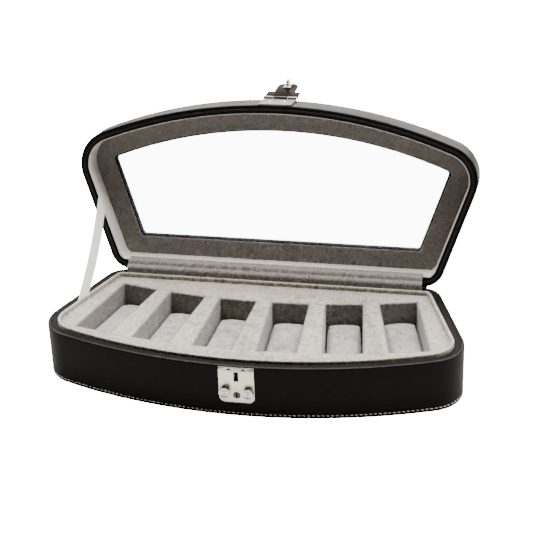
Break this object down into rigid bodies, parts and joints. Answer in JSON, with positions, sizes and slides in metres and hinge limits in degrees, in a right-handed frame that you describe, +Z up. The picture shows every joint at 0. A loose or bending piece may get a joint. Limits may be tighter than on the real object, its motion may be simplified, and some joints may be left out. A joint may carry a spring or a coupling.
{
  "type": "watch box",
  "caption": "Fan-shaped leather watch box: glazed lid on a leather hinge, suede wells in a fan with lift-out cushions, a ribbon stay, and a keyed hasp lock at the front.",
  "frame": {"origin": "on the flat bottom face, midway in depth between the back wall and the middle of the bowed front, on the box's middle plane", "axes": "+X to the right as seen from the front, +Y to the back (the hinge side), +Z up"},
  "size_m": [0.3872, 0.2849, 0.2199],
  "materials": {
    "leather": "smooth black leather with a fine grain and a soft sheen",
    "bottom_felt": "short black felt",
    "board": "raw fibreboard",
    "suede": "brushed light grey suede",
    "lid_suede": "brushed grey suede",
    "cushion_suede": "brushed grey suede over soft stuffing",
    "nickel": "warm satin nickel",
    "ribbon": "white satin ribbon",
    "glass": "clear flat glass"
  },
  "bodies": {
    "base": {"bottom_pad": "bottom_felt", "floor_board": "board", "wall_frame": "board", "base_leather": "leather", "base_welt": "leather", "collar": "suede", "tray_panel": "suede", "well_liner_1": "suede", "well_liner_2": "suede", "well_liner_3": "suede", "well_liner_4": "suede", "well_liner_5": "suede", "well_liner_6": "suede", "lock_plate": "nickel", "lock_case": "nickel", "leather_spine": "leather", "hinge_flap": "suede", "ribbon_stay": "ribbon"},
    "latch_left": {"thumb_stud_left": "nickel", "latch_jaw_left": "nickel"},
    "latch_right": {"thumb_stud_right": "nickel", "latch_jaw_right": "nickel"},
    "key_cylinder": {"key_cylinder": "nickel"},
    "lid": {"lid_frame": "board", "lid_top_board": "board", "lid_leather": "leather", "lid_welt": "leather", "lid_side_lining": "lid_suede", "lid_lining_frame": "lid_suede", "glass_spacer": "board", "glass_pane": "glass", "window_binding": "leather", "hasp_leaf": "nickel", "leaf_rivets": "nickel", "hasp_pin": "nickel"},
    "hasp": {"hasp": "nickel", "striker": "nickel", "striker_rivets": "nickel"},
    "cushion_1": {"cushion_1": "cushion_suede"},
    "cushion_2": {"cushion_2": "cushion_suede"},
    "cushion_3": {"cushion_3": "cushion_suede"},
    "cushion_4": {"cushion_4": "cushion_suede"},
    "cushion_5": {"cushion_5": "cushion_suede"},
    "cushion_6": {"cushion_6": "cushion_suede"}
  },
  "joints": [
    {"name": "lid_hinge", "type": "hinge", "parent": "base", "child": "lid", "pos_m": [0, 0.085, 0.0515], "axis": [-1, 0, 0], "range_deg": [-100, 0], "deforming": ["ribbon_stay", "hinge_flap", "leather_spine"]},
    {"name": "hasp_hinge", "type": "hinge", "parent": "lid", "child": "hasp", "pos_m": [0, 0.14533, 0.21572], "axis": [-1, 0, 0], "range_deg": [-173, 0]},
    {"name": "stud_left_slide", "type": "slide", "parent": "base", "child": "latch_left", "axis": [-1, 0, 0], "range_m": [0, 0.0018], "stiffness_N_per_m": 500},
    {"name": "stud_right_slide", "type": "slide", "parent": "base", "child": "latch_right", "axis": [1, 0, 0], "range_m": [0, 0.0018], "stiffness_N_per_m": 500},
    {"name": "key_turn", "type": "hinge", "parent": "base", "child": "key_cylinder", "pos_m": [0, -0.085, 0.0229], "axis": [0, -1, 0], "range_deg": [-90, 0]},
    {"name": "cushion_1_lift", "type": "slide", "parent": "base", "child": "cushion_1", "axis": [0, 0, 1], "range_m": [0, 0.06]},
    {"name": "cushion_2_lift", "type": "slide", "parent": "base", "child": "cushion_2", "axis": [0, 0, 1], "range_m": [0, 0.06]},
    {"name": "cushion_3_lift", "type": "slide", "parent": "base", "child": "cushion_3", "axis": [0, 0, 1], "range_m": [0, 0.06]},
    {"name": "cushion_4_lift", "type": "slide", "parent": "base", "child": "cushion_4", "axis": [0, 0, 1], "range_m": [0, 0.06]},
    {"name": "cushion_5_lift", "type": "slide", "parent": "base", "child": "cushion_5", "axis": [0, 0, 1], "range_m": [0, 0.06]},
    {"name": "cushion_6_lift", "type": "slide", "parent": "base", "child": "cushion_6", "axis": [0, 0, 1], "range_m": [0, 0.06]}
  ]
}
